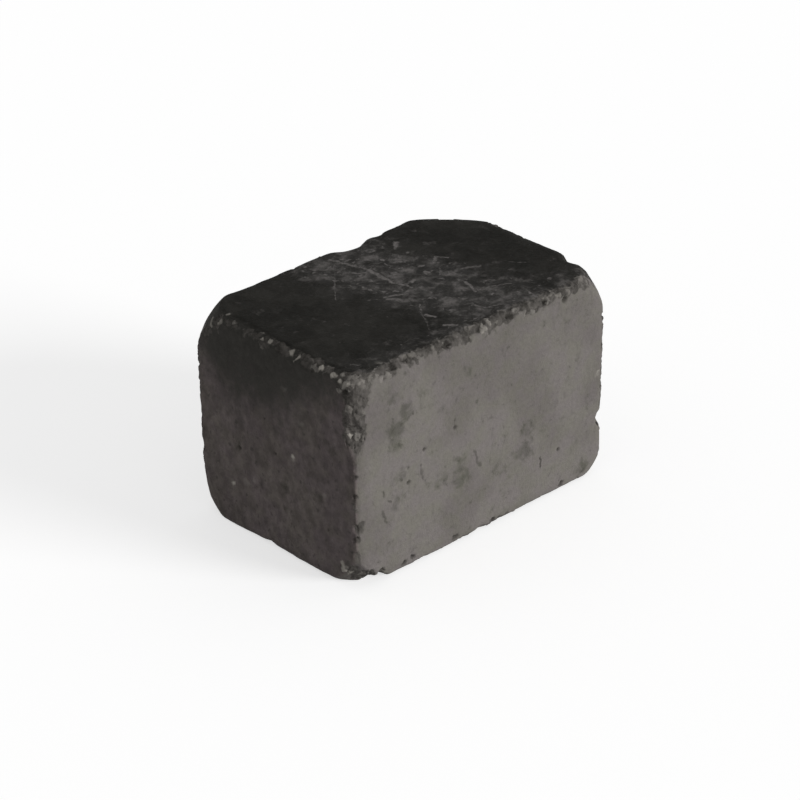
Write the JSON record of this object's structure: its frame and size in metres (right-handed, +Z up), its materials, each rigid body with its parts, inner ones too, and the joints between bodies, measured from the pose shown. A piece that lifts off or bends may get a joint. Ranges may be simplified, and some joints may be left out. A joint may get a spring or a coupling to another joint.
{
  "type": "concrete edging block",
  "caption": "Rectangular tumbled concrete block with flat faces, worn arrises and knocked-off corners, laid in a row to edge a path, drive or bed.",
  "frame": {"origin": "centre of the bottom face, on the bedding", "axes": "+X along the block's length, +Y from its front long face to its back one, +Z up"},
  "size_m": [0.21, 0.14, 0.14],
  "materials": {
    "concrete": "matt, tumbled, charcoal grey, darker on top, with pale scuffs and grit showing along the arrises"
  },
  "bodies": {
    "root": {"edging_block": "concrete"}
  },
  "joints": []
}
